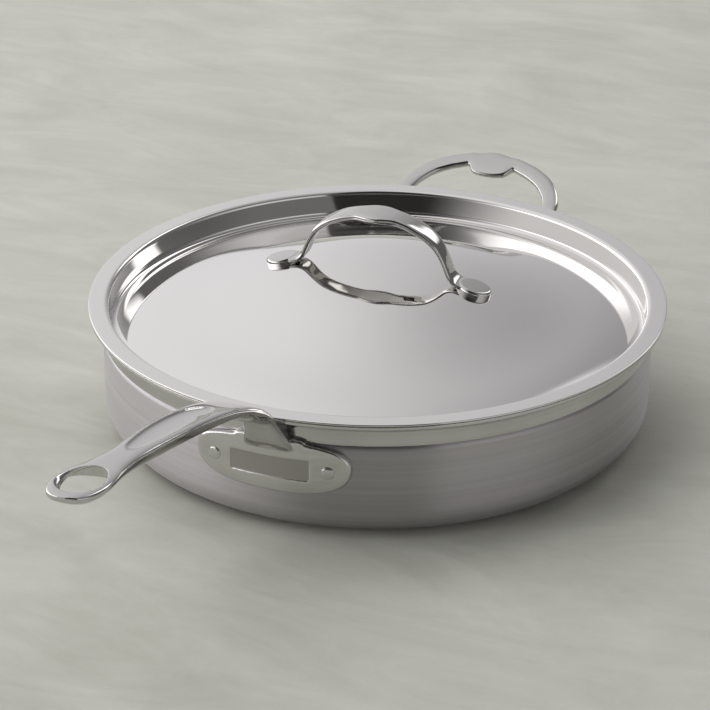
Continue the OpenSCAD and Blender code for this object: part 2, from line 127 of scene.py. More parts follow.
# a smooth curve through rows of numbers: each span is the cubic of its four nearest rows
def splineRows(rows, n, closed=False):
    rows = np.asarray(rows, float)
    if closed:
        p = np.concatenate([rows[-1:], rows, rows[:2]])
    else:
        p = np.concatenate([rows[:1], rows, rows[-1:]])
    t = (np.arange(n) / n)[None, :, None]
    a, b, c, d = [p[k:len(p) - 3 + k][:, None, :] for k in range(4)]
    square = 2 * a - 5 * b + 4 * c - d
    cube = 3 * b - a - 3 * c + d
    out = b + (c - a) * t / 2 + square * t * t / 2 + cube * t ** 3 / 2
    out = out.reshape(-1, rows.shape[1])
    return out if closed else np.concatenate([out, rows[-1:]])


# a power that keeps the sign, which squares a circle off when it is below 1
def bent(value, power):
    return np.sign(value) * np.abs(value) ** power


# a rounded section carried along a path. Rows hold x, y, z of the upper face, half width, thickness
# and the depth of the widest line; the section is a squared circle, x = half width times cos to the first
# power, with sin to the second power above the widest line and to the third below it.
# guide is a calmer path that turns the sections, where the middle line itself swerves
def carriedSection(name, rows, up, around, powers, guide=None):
    rows = np.asarray(rows, float)
    path = rows[:, :3] if guide is None else guide
    ahead = np.concatenate([path[1:], path[-1:]]) - np.concatenate([path[:1], path[:-1]])
    ahead /= np.linalg.norm(ahead, axis=1, keepdims=True)
    up = np.asarray(up, float)
    normal = up - (ahead @ up)[:, None] * ahead
    normal /= np.linalg.norm(normal, axis=1, keepdims=True)
    side = np.cross(normal, ahead)
    a = 2 * math.pi * (np.arange(around) + 0.5) / around
    c, s = np.cos(a)[None], np.sin(a)[None]
    half, thick, mid = rows[:, 3:4], rows[:, 4:5], rows[:, 5:6]
    x = half * bent(c, powers[0])
    above = -mid + mid * np.abs(s) ** powers[1]
    below = -mid - (thick - mid) * np.abs(s) ** powers[2]
    y = np.where(s > 0, above, below)
    points = rows[:, None, :3] + side[:, None] * x[..., None] + normal[:, None] * y[..., None]
    return closedLoft(name, points)


# rings of points joined in order and closed by a fan at each end
def closedLoft(name, rings):
    rings = np.asarray(rings, float)
    n, m = rings.shape[:2]
    ends = [rings[0].mean(0)[None], rings[-1].mean(0)[None]]
    points = np.concatenate([rings.reshape(-1, 3)] + ends)
    j = np.arange(m)
    k = (j + 1) % m
    faces = gridFaces(n, m)
    faces += np.stack([np.full(m, n * m), k, j], -1).tolist()
    faces += np.stack([np.full(m, n * m + 1), (n - 1) * m + j, (n - 1) * m + k], -1).tolist()
    piece = meshPiece(name, points, faces)
    cleanMesh(piece)
    return piece


# the mesh that the modifiers give becomes the piece's own
def applyModifiers(piece):
    graph = bpy.context.evaluated_depsgraph_get()
    graph.update()
    mesh = bpy.data.meshes.new_from_object(piece.evaluated_get(graph))
    old = piece.data
    piece.modifiers.clear()
    piece.data = mesh
    bpy.data.meshes.remove(old)


# crossing is for a cutter whose own faces cross, which the plain solver would drop the piece for
def cutAway(piece, cutters, crossing=False):
    for cutter in cutters:
        cut = piece.modifiers.new("cut", "BOOLEAN")
        cut.operation = "DIFFERENCE"
        cut.solver = "EXACT"
        cut.use_self = crossing
        cut.object = cutter
        bpy.context.view_layer.update()
        applyModifiers(piece)


# several closed solids become one casting: joined, remeshed evenly and smoothed, as a cast edge is soft
def castPiece(name, solids, voxel, smooth):
    points = []
    faces = []
    start = 0
    for solid in solids:
        places = np.zeros(len(solid.data.vertices) * 3)
        solid.data.vertices.foreach_get("co", places)
        points.append(places.reshape(-1, 3))
        faces += [[start + v for v in face.vertices] for face in solid.data.polygons]
        start += len(solid.data.vertices)
    piece = meshPiece(name, np.concatenate(points) * 1000, faces)
    even = piece.modifiers.new("even", "REMESH")
    even.mode = "VOXEL"
    even.voxel_size = voxel * 0.001
    even.use_smooth_shade = True
    soft = piece.modifiers.new("soft", "SMOOTH")
    soft.factor = 0.5
    soft.iterations = smooth
    bpy.context.view_layer.update()
    applyModifiers(piece)
    piece.data.polygons.foreach_set("use_smooth", np.ones(len(piece.data.polygons), bool))
    dropPieces(solids)
    print(name, len(piece.data.polygons), "faces")
    return piece


def dropPieces(pieces):
    for piece in pieces:
        bpy.data.objects.remove(piece)


# sRGB hex to linear colour
def hexColour(text):
    v = np.array([int(text[i:i + 2], 16) for i in (1, 3, 5)]) / 255
    v = np.where(v <= 0.04045, v / 12.92, ((v + 0.055) / 1.055) ** 2.4)
    return (float(v[0]), float(v[1]), float(v[2]), 1.0)


# adds one node with its settings and inputs. An input is named by its label or by i and its number, and
# gets another node's output or a plain value
def addNode(tree, kind, settings=None, **inputs):
    node = tree.nodes.new(kind)
    for key, value in (settings or {}).items():
        setattr(node, key, value)
    for key, value in inputs.items():
        numbered = key[0] == "i" and key[1:].isdigit()
        socket = node.inputs[int(key[1:]) if numbered else key.replace("_", " ")]
        if isinstance(value, bpy.types.NodeSocket):
            tree.links.new(value, socket)
        else:
            socket.default_value = value
    return node


# settings that nodes share
times = {"operation": "MULTIPLY"}
plus = {"operation": "ADD"}
below = {"operation": "LESS_THAN"}
within = {"operation": "COMPARE"}
eased = {"interpolation_type": "SMOOTHSTEP"}
colourMix = {"data_type": "RGBA"}
valueMix = {"data_type": "FLOAT"}
vectorMix = {"data_type": "VECTOR"}


def newMaterial(name):
    material = bpy.data.materials.new(name)
    material.use_nodes = True
    material.node_tree.nodes.clear()
    return material, material.node_tree


def finishMaterial(tree, shader):
    addNode(tree, "ShaderNodeOutputMaterial", None, i0=shader.outputs[0])


# 18/10 stainless steel, buffed to a mirror: a faint haze in patches of about 25 mm, left by the wheel,
# softens what it reflects
def mirrorSteel():
    material, tree = newMaterial("mirrorSteel")
    place = addNode(tree, "ShaderNodeTexCoord").outputs["Object"]
    haze = addNode(tree, "ShaderNodeTexNoise", None, Vector=place, Scale=40.0, Detail=3.0)
    rough = addNode(tree, "ShaderNodeMapRange", None, i0=haze.outputs[0], i1=0.3, i2=0.7, i3=0.03, i4=0.06)
    shader = addNode(tree, "ShaderNodeBsdfPrincipled", None, Base_Color=hexColour("#e4e3e0"), Metallic=1.0,
                     Roughness=rough.outputs[0])
    finishMaterial(tree, shader)
    return material


# cast stainless steel, tumbled and polished: near mirror, with the slight wave that a casting keeps, about
# 16 mm long. The floor of the shallow recess stays as it left the mould: matt, darker and grainy, with grains
# of about 0.7 mm, drawn coarse enough to show
def polishedCasting(name, recess=None):
    material, tree = newMaterial(name)
    place = addNode(tree, "ShaderNodeTexCoord").outputs["Object"]
    haze = addNode(tree, "ShaderNodeTexNoise", None, Vector=place, Scale=90.0, Detail=2.0)
    rough = addNode(tree, "ShaderNodeMapRange", None, i0=haze.outputs[0], i1=0.3, i2=0.7,
                    i3=0.015, i4=0.045)
    wave = addNode(tree, "ShaderNodeTexNoise", None, Vector=place, Scale=60.0, Detail=1.0)
    bump = addNode(tree, "ShaderNodeBump", None, Strength=0.04, Distance=0.001, Height=wave.outputs[0])
    colour, roughness, normal = hexColour("#c6c5c2"), rough.outputs[0], bump.outputs[0]
    if recess:
        spot = addNode(tree, "ShaderNodeSeparateXYZ", None, i0=place)
        wide = addNode(tree, "ShaderNodeMath", within, i0=spot.outputs[0], i1=0.0, i2=recess["half"])
        tall = addNode(tree, "ShaderNodeMath", within, i0=spot.outputs[2], i1=recess["z"],
                       i2=recess["halfTall"])
        near = addNode(tree, "ShaderNodeMath", below, i0=spot.outputs[1], i1=-recess["from"])
        reach = addNode(tree, "ShaderNodeVectorMath", times, i0=place, i1=(1, 1, 0))
        radius = addNode(tree, "ShaderNodeVectorMath", {"operation": "LENGTH"}, i0=reach.outputs[0])
        mask = addNode(tree, "ShaderNodeMath", below, i0=radius.outputs["Value"], i1=recess["radius"])
        for part in (wide, tall, near):
            mask = addNode(tree, "ShaderNodeMath", times, i0=mask.outputs[0], i1=part.outputs[0])
        sand = addNode(tree, "ShaderNodeTexNoise", None, Vector=place, Scale=1400.0, Detail=2.0)
        grain = addNode(tree, "ShaderNodeBump", None, Strength=0.5, Distance=0.0002, Height=sand.outputs[0])
        colour = addNode(tree, "ShaderNodeMix", colourMix, i0=mask.outputs[0], i6=colour,
                         i7=hexColour("#a3a19e")).outputs[2]
        roughness = addNode(tree, "ShaderNodeMix", valueMix, i0=mask.outputs[0], i2=roughness,
                            i3=0.34).outputs[0]
        normal = addNode(tree, "ShaderNodeMix", vectorMix, i0=mask.outputs[0], i4=normal,
                         i5=grain.outputs[0]).outputs[1]
    shader = addNode(tree, "ShaderNodeBsdfPrincipled", None, Base_Color=colour, Metallic=1.0,
                     Roughness=roughness, Normal=normal)
    finishMaterial(tree, shader)
    return material


# stainless sheet brushed round the pan: lines of about 0.7 mm, drawn coarser than real ones to show, and
# bands of about 2.4 mm, both many times as long round the pan as they are high
def brushedSteel(name, colours, roughness):
    material, tree = newMaterial(name)
    place = addNode(tree, "ShaderNodeTexCoord").outputs["Object"]
    stretch = addNode(tree, "ShaderNodeMapping", None, Vector=place, Scale=(6.0, 6.0, 1500.0))
    grain = addNode(tree, "ShaderNodeTexNoise", None, Vector=stretch.outputs[0], Scale=1.0, Detail=3.0)
    wide = addNode(tree, "ShaderNodeMapping", None, Vector=place, Scale=(5.0, 5.0, 420.0))
    bands = addNode(tree, "ShaderNodeTexNoise", None, Vector=wide.outputs[0], Scale=1.0, Detail=2.0)
    tone = addNode(tree, "ShaderNodeMapRange", None, i0=bands.outputs[0], i1=0.25, i2=0.75)
    colour = addNode(tree, "ShaderNodeMix", colourMix, i0=tone.outputs[0], i6=hexColour(colours[0]),
                     i7=hexColour(colours[1]))
    rough = addNode(tree, "ShaderNodeMapRange", None, i0=grain.outputs[0], i1=0.2, i2=0.8,
                    i3=roughness[0], i4=roughness[1])
    bump = addNode(tree, "ShaderNodeBump", None, Strength=0.12, Distance=0.0002, Height=grain.outputs[0])
    turn = addNode(tree, "ShaderNodeTangent", {"direction_type": "RADIAL", "axis": "Z"})
    shader = addNode(tree, "ShaderNodeBsdfPrincipled", None, Base_Color=colour.outputs[2], Metallic=1.0,
                     Roughness=rough.outputs[0], Anisotropic=0.92, Anisotropic_Rotation=0.25,
                     Normal=bump.outputs[0], Tangent=turn.outputs[0])
    finishMaterial(tree, shader)
    return material


# rolled aluminium, only seen if the pan were cut open: mill haze in patches of about 3 mm
def rolledAluminium():
    material, tree = newMaterial("rolledAluminium")
    place = addNode(tree, "ShaderNodeTexCoord").outputs["Object"]
    haze = addNode(tree, "ShaderNodeTexNoise", None, Vector=place, Scale=300.0)
    rough = addNode(tree, "ShaderNodeMapRange", None, i0=haze.outputs[0], i3=0.3, i4=0.5)
    shader = addNode(tree, "ShaderNodeBsdfPrincipled", None, Base_Color=hexColour("#d9dadb"), Metallic=1.0,
                     Roughness=rough.outputs[0])
    finishMaterial(tree, shader)
    return material


# trowelled cement floor: pale grey green, cloudy patches about 180 mm wide crossed by trowel strokes about
# 60 mm across, with a fine grain of about 6 mm
def trowelledCement():
    material, tree = newMaterial("trowelledCement")
    place = addNode(tree, "ShaderNodeTexCoord").outputs["Object"]
    clouds = addNode(tree, "ShaderNodeTexNoise", None, Vector=place, Scale=5.5, Detail=9.0, Roughness=0.62,
                     Distortion=0.9)
    strokes = addNode(tree, "ShaderNodeMapping", None, Vector=place, Rotation=(0, 0, 0.35),
                      Scale=(4.0, 11.0, 1.0))
    trowel = addNode(tree, "ShaderNodeTexNoise", None, Vector=strokes.outputs[0], Scale=1.6, Detail=8.0,
                     Roughness=0.68, Distortion=1.6)
    fine = addNode(tree, "ShaderNodeTexNoise", None, Vector=place, Scale=160.0, Detail=5.0)
    cloudy = addNode(tree, "ShaderNodeMapRange", None, i0=clouds.outputs[0], i1=0.32, i2=0.68)
    worked = addNode(tree, "ShaderNodeMapRange", None, i0=trowel.outputs[0], i1=0.35, i2=0.65)
    clouds = addNode(tree, "ShaderNodeMix", colourMix, i0=cloudy.outputs[0], i6=hexColour("#babbaf"),
                     i7=hexColour("#d2d3c9"))
    marks = addNode(tree, "ShaderNodeMix", colourMix, i0=worked.outputs[0], i6=hexColour("#b8b9ad"),
                    i7=hexColour("#d3d4ca"))
    both = addNode(tree, "ShaderNodeMix", colourMix, i0=0.5, i6=clouds.outputs[2], i7=marks.outputs[2])
    rough = addNode(tree, "ShaderNodeMapRange", None, i0=trowel.outputs[0], i1=0.3, i2=0.7, i3=0.5, i4=0.72)
    bump = addNode(tree, "ShaderNodeBump", None, Strength=0.2, Distance=0.001, Height=fine.outputs[0])
    shader = addNode(tree, "ShaderNodeBsdfPrincipled", None, Base_Color=both.outputs[2],
                     Roughness=rough.outputs[0], Specular_IOR_Level=0.3, Normal=bump.outputs[0])
    finishMaterial(tree, shader)
    return material


# pan: the corner's arc and the flare's arc, moved inward from the wall's outer face
def wallLine(inward):
    foot = arcPoints((wallR - pan["cornerR"], pan["cornerR"]), pan["cornerR"] - inward, -90, 0, 24)
    flare = arcPoints((wallR + pan["flareR"], flareZ), pan["flareR"] + inward, 180, 90, 18)
    return foot, flare


# the same line moved inward by one skin: left on the wall, up on the base, towards the centre on the corner
def skinInside(line):
    foot = np.array([wallR - pan["cornerR"], pan["cornerR"]])
    inside = line.copy()
    for i, point in enumerate(line):
        if point[1] >= foot[1]:
            inside[i] += (-pan["skin"], 0)
        elif point[0] <= foot[0]:
            inside[i] += (0, pan["skin"])
        else:
            inside[i] += (foot - point) / np.linalg.norm(foot - point) * pan["skin"]
    return inside


# brushed base and wall, closed by the inside of the skin
def buildBody():
    foot = wallLine(0)[0]
    base = evenLine([[0, 0], foot[0]], 6)
    wall = evenLine([foot[-1], [wallR, bandZ]], 4)
    outside = np.concatenate([base[:-1], foot, wall[1:]])
    hidden = [[wallR - pan["skin"], bandZ]]
    return turnedPiece("brushedBody", np.concatenate([outside, hidden, skinInside(outside[::-1][1:])]),
                       pan["segments"])


# polished band: a small round step out from the wall, the flare and the lip's lower half
def buildBand():
    bandR = wallR + pan["bandOut"]
    lipLow = pan["height"] - wallT
    stepR = 0.15
    hidden = [wallR - pan["skin"], bandZ]
    step = arcPoints((bandR - stepR, bandZ + stepR), stepR, -90, 0, 4)
    flare = arcPoints((wallR + pan["flareR"], flareZ), pan["flareR"] - pan["bandOut"], 180, 90, 18)
    lip = [[lipR, lipLow + pan["bandOut"]], [lipR, lipLow + pan["skin"]]]
    wall = evenLine([[bandR, bandZ + 2 * stepR], flare[0]], 4)
    band = np.concatenate([[hidden, [wallR - 0.02, bandZ]], step, wall, flare[1:], lip,
                           wallLine(pan["skin"])[1][::-1], [hidden]])
    return turnedPiece("polishedBand", band, pan["segments"])


# cooking surface: the inner skin, closed under itself and folded over the lip
def buildCookingSurface():
    inFoot, inFlare = wallLine(wallT)
    deepFoot, deepFlare = wallLine(wallT - pan["skin"])
    top = pan["height"]
    low = top - wallT + pan["skin"]
    edgeR = 0.5
    under = [evenLine([[0, wallT - pan["skin"]], deepFoot[0]], 8)[:-1], deepFoot,
             evenLine([deepFoot[-1], deepFlare[0]], 6)[1:], deepFlare[1:]]
    fold = [[lipR - pan["skin"], top - pan["skin"]], [lipR - pan["skin"], low], [lipR, low]]
    edge = [evenLine([[lipR, low + 0.2], [lipR, top - edgeR]], 0.5),
            arcPoints((lipR - edgeR, top - edgeR), edgeR, 0, 90, 5)[1:]]
    seen = [inFlare[::-1], evenLine([inFlare[0], inFoot[-1]], 6)[1:], inFoot[::-1][1:],
            evenLine([inFoot[0], [0, wallT]], 8)[1:]]
    return turnedPiece("cookingSurface", np.concatenate(under + [fold] + edge + seen), pan["segments"])


# lid: slope of the dome in degrees by radius. The dome's line adds the smoothed slope up to heights
dome = {"radius": [0, 30, 60, 90, 120, 147], "degrees": [0, 6, 15.5, 17.5, 13.5, 22], "steps": 600,
        "smoothing": 79, "points": 90}


def domeLine():
    steps, reach = dome["steps"], dome["smoothing"]
    r = np.linspace(0, domeR, steps)
    slope = np.interp(r, dome["radius"], dome["degrees"])
    padded = np.concatenate([-slope[1:reach + 1][::-1], slope, np.full(reach, slope[-1])])
    soft = np.convolve(padded, np.hanning(reach) / np.hanning(reach).sum(), "same")[reach:reach + steps]
    fall = np.tan(np.radians((soft[1:] + soft[:-1]) / 2)) * np.diff(r)
    drop = np.concatenate([[0], np.cumsum(fall)])
    z = floorZ + (drop[-1] - drop) * lid["domeRise"] / drop[-1]
    keep = np.linspace(0, steps - 1, dome["points"]).round().astype(int)
    return np.stack([r, z], -1)[keep]


def domeHeight(r):
    line = domeLine()
    return float(np.interp(r, line[:, 0], line[:, 1]))


# the lid's upper face from the axis to the edge, then its lower face one sheet thickness inside
def buildLid():
    line = domeLine()
    t = lid["sheet"]
    top = np.concatenate([
        line, arcPoints((channelX, floorZ + lid["channelR"]), lid["channelR"], -90, 0, 14),
        evenLine([[footR, floorZ + lid["channelR"]], [foldX - lid["foldR"], lidZ - lid["foldR"]]], 1.5)[1:-1],
        arcPoints((foldX, lidZ - lid["foldR"]), lid["foldR"], 180, 90, 14),
        evenLine([[foldX, lidZ], [lidR - t / 2, lidZ]], 1.5)[1:-1],
        arcPoints((lidR - t / 2, lidZ - t / 2), t / 2, 90, -90, 13)])
    slope = np.gradient(line[:, 1], line[:, 0])
    turn = np.stack([slope, -np.ones_like(slope)], -1) / np.sqrt(1 + slope ** 2)[:, None]
    low = line + turn * t
    low[0, 0] = 0
    under = np.concatenate([
        low, arcPoints((channelX, floorZ + lid["channelR"]), lid["channelR"] + t, -90, 0, 14),
        arcPoints((foldX, lidZ - lid["foldR"]), lid["foldR"] - t, 180, 90, 14)])
    return turnedPiece("lidShell", np.concatenate([top, under[::-1]])[::-1], lid["segments"])


# lid handle: half of the arch as shares of pad distance and rise, half width, thickness
arch = {"padX": 57.9, "padLength": 20.0, "padWidth": 17.5, "padT": 3.7, "rise": 36.4, "width": 15.4,
        "eyeWidth": 21.0, "topT": 4.6, "legT": 3.0, "grain": 0.36, "softening": 5}


def archRows():
    width, eye, top, leg = arch["width"], arch["eyeWidth"], arch["topT"], arch["legT"]
    half = [[0, 1, eye / 2, top], [0.069, 0.997, eye * 0.485, top],
            [0.138, 0.99, width * 0.2 + eye * 0.28, top],
            [0.21, 0.977, width / 2, top], [0.3, 0.944, width * 0.49, top],
            [0.39, 0.893, width * 0.485, top * 0.97], [0.516, 0.787, width * 0.465, top * 0.9],
            [0.622, 0.648, width * 0.44, (top + leg) / 2], [0.677, 0.525, width * 0.42, leg * 1.1],
            [0.724, 0.377, width * 0.4, leg], [0.76, 0.24, width * 0.4, leg],
            [0.79, 0.135, width * 0.41, leg], [0.83, 0.067, width * 0.44, leg],
            [0.885, 0.037, width * 0.46, leg], [0.945, 0.012, width * 0.46, leg]]
    foot = domeHeight(arch["padX"]) + arch["padT"]
    side = [[arch["padX"] * r[0], 0, foot + arch["rise"] * r[1], r[2], r[3], r[3] * 0.5] for r in half]
    return [[-r[0]] + r[1:] for r in side[:0:-1]] + side


# a pad is an oval whose edge rounds over: rings shrink inward by the first number at the second's height
def buildArch():
    padX, padT = arch["padX"], arch["padT"]
    solids = [carriedSection("archStrap", splineRows(archRows(), 12), (0, 0, 1), 64, (0.6, 0.6, 0.6))]
    near = 6
    lean = math.atan((domeHeight(padX - near) - domeHeight(padX + near)) / (2 * near))
    steps = [[0, -3], [0, 0], [0, 1.0], [0, padT - 1.8], [0.12, padT - 1.25], [0.45, padT - 0.65],
             [1.0, padT - 0.2], [1.8, padT], [3, padT + 0.08], [4.5, padT + 0.14], [7, padT + 0.2]]
    angle = np.linspace(0, 2 * math.pi, 96, endpoint=False)
    for side in (-1, 1):
        rings = np.array([np.stack([(arch["padLength"] / 2 - inward) * np.cos(angle),
                                    (arch["padWidth"] / 2 - inward) * np.sin(angle),
                                    np.full(len(angle), height)], -1)
                          for inward, height in splineRows(steps, 4)])
        c, n = math.cos(side * lean), math.sin(side * lean)
        turned = np.stack([rings[..., 0] * c + rings[..., 2] * n, rings[..., 1],
                           -rings[..., 0] * n + rings[..., 2] * c], -1)
        solids.append(closedLoft("archPad", turned + np.array([side * padX, 0, domeHeight(padX)])))
    return castPiece("lidHandleCasting", solids, arch["grain"], arch["softening"])


# long handle: rows past the neck line as shares of the run and the rise, half width, thickness
grip = {"length": 232.7, "rise": 69.0, "neckGap": 5.0, "neckUp": 1.5, "neckWidth": 28.6, "width": 23.0,
        "waist": 17.4, "endWidth": 27.6, "neckT": 4.6, "thick": 8.2, "endT": 5.6, "eyeLength": 29.0,
        "eyeWidth": 19.0, "eyeBack": 8.0, "grooveLength": 93.0, "grooveWidth": 16.0, "grooveT": 1.9,
        "grooveBack": 65.0, "hollowWidth": 16.0, "hollowT": 1.9, "flangeWidth": 88.0, "flangeHeight": 34.0,
        "flangeT": 4.2, "flangeDrop": 45.0, "recessWidth": 45.6, "recessHeight": 12.6, "recessT": 0.5,
        "recessR": 1.5, "rivetSpan": 63.0, "rivetDrop": 30.0, "seatR": 3.85, "seatT": 0.3, "eyeFlare": 1.9,
        "edgeR": 1.8, "crown": 0.5, "grain": 0.5, "softening": 4}
hollowUp = (0, 1, 0.5)
neckX = pan["lipReach"] + lid["over"] + grip["neckGap"]
frontR = wallR + grip["flangeT"]
rivetZ = pan["height"] - grip["rivetDrop"]


# neck: distance out from the wall, height over the lip, half width, thickness. Arm: shares of the run past
# the neck line and of the rise, share of the width, thickness. Tail: the same with half width in
# millimetres. Back: distance from the handle's end, share of the rise, half width, share of the thickness
def armRows():
    g = grip
    run = g["length"] - neckX
    neckT, thick, waist, end = g["neckT"], g["thick"], g["waist"], g["endWidth"]
    neck = [[0.5, -17, g["neckWidth"] / 2 + 0.3, neckT],
            [g["flangeT"] + 0.5, -11.5, g["neckWidth"] * 0.44, neckT],
            [(neckX + g["flangeT"]) * 0.46, -6.5, g["neckWidth"] * 0.38, neckT],
            [neckX, g["neckUp"], g["neckWidth"] * 0.16 + g["width"] * 0.21, neckT]]
    arm = [[0.023, 0.1, 0.405, neckT + 0.4], [0.059, 0.196, 0.43, neckT * 0.5 + thick * 0.45]]
    arm += [[u, v, w, thick * h] for u, v, w, h in (
        (0.091, 0.266, 0.46, 0.95), (0.118, 0.316, 0.48, 1.04), (0.145, 0.363, 0.49, 0.8),
        (0.182, 0.419, 0.495, 0.72), (0.245, 0.503, 0.49, 0.84), (0.318, 0.582, 0.49, 0.95),
        (0.364, 0.626, 0.49, 1), (0.414, 0.67, 0.487, 1), (0.473, 0.716, 0.475, 1),
        (0.536, 0.761, 0.45, 1), (0.614, 0.811, 0.41, 1))]
    tail = [[0.691, 0.857, waist / 2, thick * 0.94], [0.755, 0.897, waist / 2 + 0.4, thick * 0.85]]
    back = [[42, 0.93, waist * 0.25 + end * 0.22, 1.12]]
    back += [[b, v, w * end, t] for b, v, w, t in (
        (33, 0.958, 0.445, 1), (25, 0.977, 0.49, 1), (19, 0.987, 0.5, 1), (13, 0.994, 0.481, 1),
        (8, 0.998, 0.43, 0.97), (4, 1, 0.345, 0.88), (1.4, 1, 0.23, 0.7), (0, 1, 0.09, 0.4))]
    start = -wallR - neckX
    foot = pan["height"] + g["neckUp"]
    rise = g["rise"] - g["neckUp"]
    rows = [[0, -wallR - r[0], pan["height"] + r[1], r[2], r[3], 2] for r in neck]
    rows += [[0, start - run * r[0], foot + rise * r[1], g["width"] * r[2], r[3], 2.6] for r in arm]
    rows += [[0, start - run * r[0], foot + rise * r[1], r[2], r[3], 3] for r in tail]
    rows += [[0, -wallR - g["length"] + r[0], foot + rise * r[1], r[2], g["endT"] * r[3],
              g["endT"] * r[3] * 0.45] for r in back]
    return rows


# the hollow runs a little above the lower face of the neck, from the flange out under the arm. Its lowest
# rows stand on the flange: height under the lip, share of the width, share of the depth
def hollowRows():
    g = grip
    arm = np.array(armRows()[:9])
    ahead = arm[1:, :3] - np.concatenate([arm[:1, :3], arm[:-2, :3]])
    ahead /= np.linalg.norm(ahead, axis=1, keepdims=True)
    up = np.array(hollowUp)
    normal = up - (ahead @ up)[:, None] * ahead
    normal /= np.linalg.norm(normal, axis=1, keepdims=True)
    deep = g["hollowT"] * np.array([0.35, 0.8, 1, 1, 1, 0.95, 0.8, 0.2])
    wide = g["hollowWidth"] / 2 * np.array([1.4, 1.34, 1.15, 1, 0.98, 0.96, 0.8, 0.4])
    place = arm[:8, :3] - normal * (arm[:8, 4] - deep)[:, None]
    beyond = 3
    rows = np.column_stack([place, wide, deep + beyond, deep])
    foot = [[0, -wallR - g["flangeT"] + d, pan["height"] + z, g["hollowWidth"] / 2 * w, g["hollowT"] + beyond,
             g["hollowT"] * d] for z, w, d in ((-22.4, 0.34, 0.08), (-20.6, 0.62, 0.2))]
    return np.concatenate([foot, rows])


# height of the arm's upper face at a distance from the handle's end
def armHeight(back):
    path = splineRows(armRows(), 12)
    return float(np.interp(back, (path[:, 1] + wallR + grip["length"])[::-1], path[::-1, 2]))


# an outline of x and z shrunk towards its centre and laid on a cylinder: y = sqrt(radius^2 - x^2)
def sidedRing(pts, centre, share, inset, radius, side):
    d = pts - centre
    q = centre + d * share * (1 - inset / np.linalg.norm(d, axis=1, keepdims=True))
    return np.stack([q[:, 0], side * np.sqrt(radius ** 2 - q[:, 0] ** 2), q[:, 1]], -1)


# a plate bent to the wall, with a rounded edge and a face that crowns a little towards its middle
def flangePlate(name, outline, side):
    centre = np.array([0, rivetZ])
    edgeR = grip["edgeR"]
    edge = frontR - grip["crown"] - edgeR
    buried = 1.5
    steps = [(1, 0, wallR - buried)]
    steps += [(1, 0, r) for r in np.linspace(wallR, edge, 4)]
    steps += [(1, edgeR * (1 - math.cos(a)), edge + edgeR * math.sin(a))
              for a in np.radians(np.linspace(10, 90, 9))]
    steps += [(k, edgeR, frontR - grip["crown"] * k ** 4) for k in np.linspace(0.97, 0.03, 32)]
    rings = np.array([sidedRing(outline, centre, k, inset, r, side) for k, inset, r in steps])
    return closedLoft(name, rings[::-1] if side > 0 else rings)


# what fills the pan's wall and band, to trim the handles to them with a hair of room
def wallCutter():
    gap = 0.02
    angle = np.linspace(0, 2 * math.pi, 720, endpoint=False)
    bandR = wallR + pan["bandOut"]
    rings = [np.stack([(r + gap) * np.cos(angle), (r + gap) * np.sin(angle), np.full(len(angle), z)], -1)
             for r, z in ((wallR, 0), (wallR, bandZ), (bandR, bandZ + 0.3), (bandR, pan["height"]))]
    return closedLoft("wallCutter", rings)


# round seats that the rivets' outer heads sit in
def seatCutters(side, span, radius, depth):
    out = []
    angle = np.linspace(0, 2 * math.pi, 64, endpoint=False)
    x, z = radius * np.cos(angle), radius * np.sin(angle) + rivetZ
    for s in (-1, 1):
        turn = s * math.asin(span / 2 / wallR) * side
        rings = []
        for h in (-depth, 5):
            y = np.full(len(angle), side * (frontR + h))
            rings.append(np.stack([x * math.cos(turn) - y * math.sin(turn),
                                   x * math.sin(turn) + y * math.cos(turn), z], -1))
        out.append(closedLoft("seatCutter", rings))
    return out


# half of the flange's outline as shares of its half width and height, from the middle of its foot
def handlePlate():
    half = np.array([[0, 0], [0.22, 0], [0.45, 0.02], [0.65, 0.06], [0.81, 0.13], [0.92, 0.22], [0.98, 0.33],
                     [1, 0.46], [0.985, 0.59], [0.92, 0.7], [0.82, 0.785], [0.645, 0.85], [0.48, 0.885],
                     [0.38, 0.94]])
    full = np.concatenate([half, [[0, 0.97]], half[:0:-1] * [-1, 1]])
    outline = splineRows(full, 12, True) * [grip["flangeWidth"] / 2, grip["flangeHeight"]]
    return flangePlate("flangePlate", outline + [0, pan["height"] - grip["flangeDrop"]], -1)


# thumb groove: shares of its length from the pan's end and of its half width
def grooveCutter():
    g = grip
    rows = []
    for u, w in ((0, 0.04), (0.03, 0.45), (0.12, 0.84), (0.25, 0.98), (0.42, 1), (0.6, 0.92), (0.78, 0.72),
                 (0.92, 0.46), (1, 0.04)):
        back = g["grooveBack"] + g["grooveLength"] * (1 - u)
        deep = g["grooveT"] * w ** 0.7
        rows.append([0, -wallR - g["length"] + back, armHeight(back) + deep, g["grooveWidth"] / 2 * w,
                     2 * deep, deep])
    return carriedSection("grooveCutter", splineRows(rows, 12), (0, 0.3, 0.95), 64, (0.8, 0.8, 0.5))


